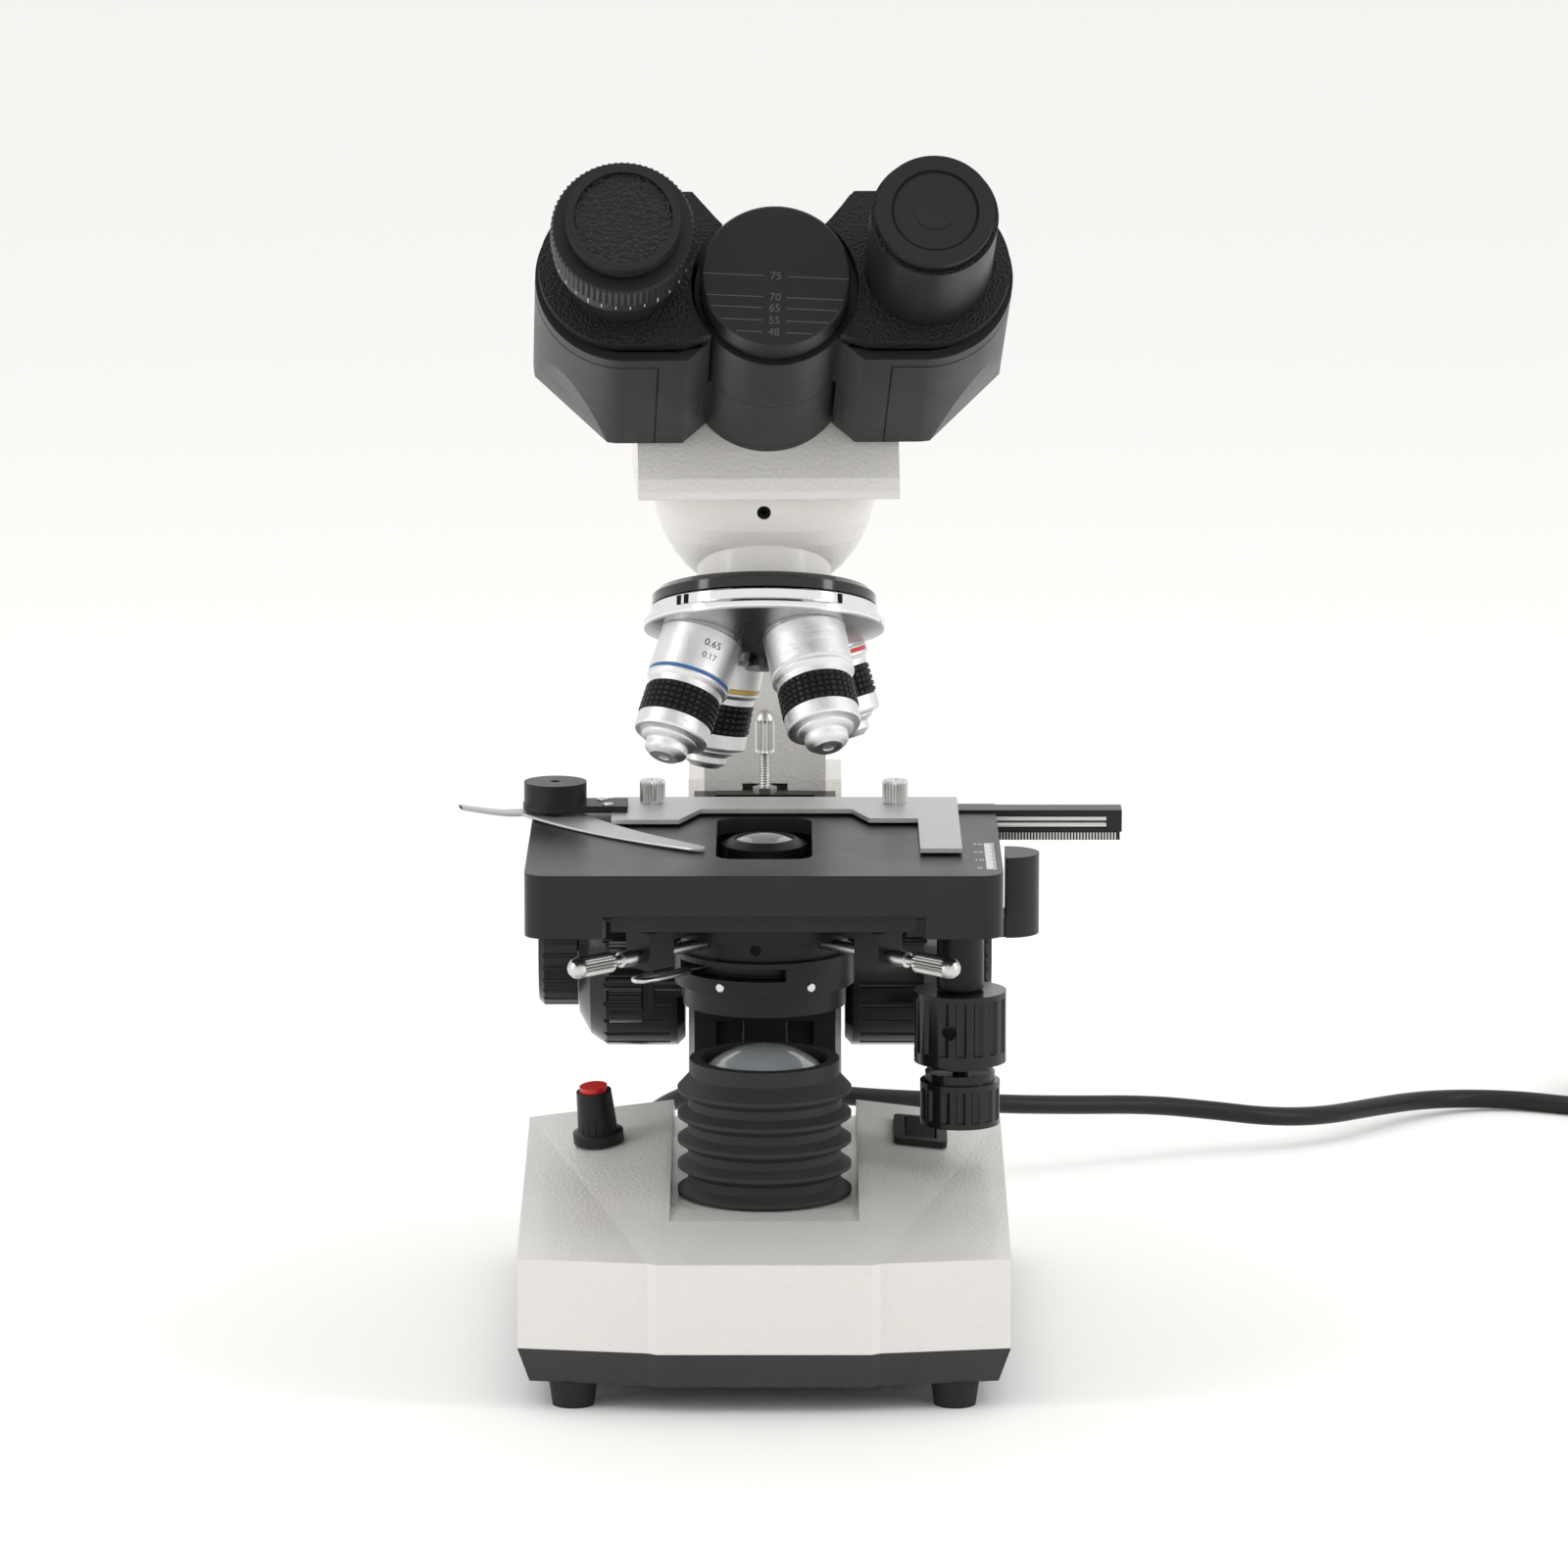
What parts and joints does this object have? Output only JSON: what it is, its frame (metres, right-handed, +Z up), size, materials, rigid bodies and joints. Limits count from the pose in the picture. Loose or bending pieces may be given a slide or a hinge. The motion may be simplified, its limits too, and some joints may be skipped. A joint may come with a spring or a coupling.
{
  "type": "binocular microscope",
  "caption": "White and black binocular laboratory microscope with a tilted two-tube head, turning objective turret, mechanical stage, condenser, finned lamp housing and mains lead.",
  "frame": {"origin": "on the table under the optical axis", "axes": "+Z up, +X to the user's right, +Y away from the user"},
  "size_m": [0.4143, 0.4423, 0.3228],
  "materials": {
    "white_paint": "fine textured gloss",
    "black_paint": "satin",
    "black_aluminium": "anodised, satin",
    "black_plastic": "satin moulded",
    "gloss_black": "gloss",
    "grey_plastic": "matt",
    "red_plastic": "gloss",
    "rubber": "matt",
    "steel": "satin",
    "satin_silver": "satin",
    "chrome": "mirror",
    "glass": "clear",
    "frosted_glass": "frosted",
    "circuit": "lacquered",
    "cord_black": "satin"
  },
  "bodies": {
    "stand": {"base_shell": "white_paint", "bottom_plate": "grey_plastic", "rubber_feet": "rubber", "foot_screws": "steel", "illuminator_housing": "black_aluminium", "collector_lens": "frosted_glass", "power_board": "circuit", "lamp": "glass", "arm_casting": "white_paint", "head_clamp_screw": "steel", "focus_guide": "black_paint", "nosepiece_cap": "gloss_black", "switch_bezel": "black_plastic", "cable_gland": "rubber", "power_cord": "cord_black", "cord_coil": "cord_black", "power_plug": "cord_black"},
    "dimmer": {"dimmer_knob": "black_plastic", "dimmer_cap": "red_plastic"},
    "switch": {"switch_rocker": "black_plastic"},
    "coarse_drive": {"coarse_knobs": "black_plastic"},
    "fine_drive": {"fine_knobs": "black_plastic"},
    "stage_carrier": {"carrier_block": "black_aluminium", "stage_stop_screw": "steel", "stage_lower_plate": "black_aluminium"},
    "condenser": {"condenser_bracket": "black_aluminium", "centring_screws": "steel", "condenser_barrel": "black_aluminium", "condenser_lens": "glass"},
    "iris": {"iris_lever": "steel"},
    "filter_holder": {"filter_ring": "black_aluminium"},
    "condenser_drive": {"condenser_knob": "black_plastic"},
    "stage_top": {"stage_top_plate": "black_aluminium", "stage_control_column": "black_aluminium"},
    "y_drive": {"y_drive_knob": "black_plastic"},
    "x_drive": {"x_drive_knob": "black_plastic"},
    "slide_holder": {"x_travel_bar": "black_aluminium", "slide_holder_plate": "steel", "holder_thumbscrews": "steel", "clip_pivot": "black_plastic"},
    "clip": {"clip_finger": "steel"},
    "turret": {"nosepiece_turret": "chrome", "objective_barrels": "satin_silver", "objective_grips": "black_aluminium", "objective_lenses": "glass"},
    "head": {"head_base": "white_paint", "beam_prism": "glass", "hinge_body": "black_aluminium", "scale_disc": "black_plastic"},
    "left_half": {"left_housing": "black_plastic", "left_prism": "glass", "left_face_plate": "black_plastic"},
    "right_half": {"right_housing": "black_plastic", "right_prism": "glass", "right_face_plate": "black_plastic"},
    "diopter": {"diopter_ring": "black_aluminium"},
    "left_ocular": {"left_eyepiece": "black_aluminium"},
    "right_ocular": {"right_eyepiece": "black_aluminium"},
    "left_dust_cap": {"left_eyepiece_cap": "black_plastic"},
    "right_dust_cap": {"right_eyepiece_cap": "black_plastic"}
  },
  "joints": [
    {"name": "dimmer_turn", "type": "hinge", "parent": "stand", "child": "dimmer", "pos_m": [-0.0435, 0.033, 0.04924], "axis": [-0.0943, -0.1066, 0.9898], "range_deg": [-150, 150]},
    {"name": "switch_rock", "type": "hinge", "parent": "stand", "child": "switch", "pos_m": [0.0408, 0.038, 0.05005], "axis": [0.9955, 0.005, -0.0943], "range_deg": [-18, 0]},
    {"name": "stage_focus", "type": "slide", "parent": "stand", "child": "stage_carrier", "axis": [0, 0, 1], "range_m": [-0.009, 0.008]},
    {"name": "coarse_turn", "type": "hinge", "parent": "stand", "child": "coarse_drive", "pos_m": [0, 0.085, 0.0917], "axis": [1, 0, 0], "range_deg": [-165, 150]},
    {"name": "fine_turn", "type": "hinge", "parent": "stand", "child": "fine_drive", "pos_m": [0, 0.085, 0.0917], "axis": [1, 0, 0], "continuous": true},
    {"name": "condenser_slide", "type": "slide", "parent": "stage_carrier", "child": "condenser", "axis": [0, 0, 1], "range_m": [-0.005, 0]},
    {"name": "condenser_knob_turn", "type": "hinge", "parent": "stage_carrier", "child": "condenser_drive", "pos_m": [-0.036, 0.0386, 0.091], "axis": [1, 0, 0], "range_deg": [-100, 5]},
    {"name": "iris_turn", "type": "hinge", "parent": "condenser", "child": "iris", "pos_m": [0, 0, 0.1052], "axis": [0, 0, 1], "range_deg": [-8, 50]},
    {"name": "filter_swing", "type": "hinge", "parent": "condenser", "child": "filter_holder", "pos_m": [-0.01853, 0.0107, 0.0965], "axis": [0, 0, -1], "range_deg": [0, 90]},
    {"name": "stage_y", "type": "slide", "parent": "stage_carrier", "child": "stage_top", "axis": [0, 1, 0], "range_m": [-0.001, 0.025]},
    {"name": "y_drive_turn", "type": "hinge", "parent": "stage_top", "child": "y_drive", "pos_m": [0.0508, 0.014, 0.085], "axis": [0, 0, 1], "range_deg": [-10, 270]},
    {"name": "slide_x", "type": "slide", "parent": "stage_top", "child": "slide_holder", "axis": [1, 0, 0], "range_m": [-0.038, 0.03]},
    {"name": "x_drive_turn", "type": "hinge", "parent": "stage_top", "child": "x_drive", "pos_m": [0.0508, 0.014, 0.066], "axis": [0, 0, 1], "range_deg": [-365, 290]},
    {"name": "clip_swing", "type": "hinge", "parent": "slide_holder", "child": "clip", "pos_m": [-0.0541, 0.017, 0.1406], "axis": [0, 0, -1], "range_deg": [0, 35], "stiffness_Nm_per_rad": 0.03, "springref_deg": -17.19},
    {"name": "turret_turn", "type": "hinge", "parent": "stand", "child": "turret", "pos_m": [0, 0, 0.2378], "axis": [0, -0.342, -0.9397], "continuous": true},
    {"name": "head_turn", "type": "hinge", "parent": "stand", "child": "head", "pos_m": [0, 0, 0.24], "axis": [0, 0, 1], "continuous": true},
    {"name": "left_fold", "type": "hinge", "parent": "head", "child": "left_half", "pos_m": [0, 0, 0.2476], "axis": [0.0348, -0.8653, 0.5], "range_deg": [-35, 0]},
    {"name": "right_fold", "type": "hinge", "parent": "head", "child": "right_half", "pos_m": [0, 0, 0.2476], "axis": [0.0348, -0.8653, 0.5], "range_deg": [0, 35]},
    {"name": "diopter_turn", "type": "hinge", "parent": "left_half", "child": "diopter", "pos_m": [-0.03439, -0.0857, 0.30167], "axis": [0.0348, -0.8653, 0.5], "range_deg": [-120, 120]},
    {"name": "left_ocular_pull", "type": "slide", "parent": "left_half", "child": "left_ocular", "axis": [0.0348, -0.8653, 0.5], "range_m": [0, 0.03]},
    {"name": "right_ocular_pull", "type": "slide", "parent": "right_half", "child": "right_ocular", "axis": [0.0348, -0.8653, 0.5], "range_m": [0, 0.03]},
    {"name": "left_cap_pull", "type": "slide", "parent": "left_ocular", "child": "left_dust_cap", "axis": [0.0348, -0.8653, 0.5], "range_m": [0, 0.01]},
    {"name": "right_cap_pull", "type": "slide", "parent": "right_ocular", "child": "right_dust_cap", "axis": [0.0348, -0.8653, 0.5], "range_m": [0, 0.01]}
  ],
  "couplings": [
    {"joint": "coarse_turn", "follows": "stage_focus", "rad_per_m": 314.16},
    {"joint": "condenser_knob_turn", "follows": "condenser_slide", "rad_per_m": 333.33},
    {"joint": "y_drive_turn", "follows": "stage_y", "rad_per_m": 166.67},
    {"joint": "x_drive_turn", "follows": "slide_x", "rad_per_m": 166.67},
    {"joint": "right_fold", "follows": "left_fold", "ratio": -1}
  ]
}
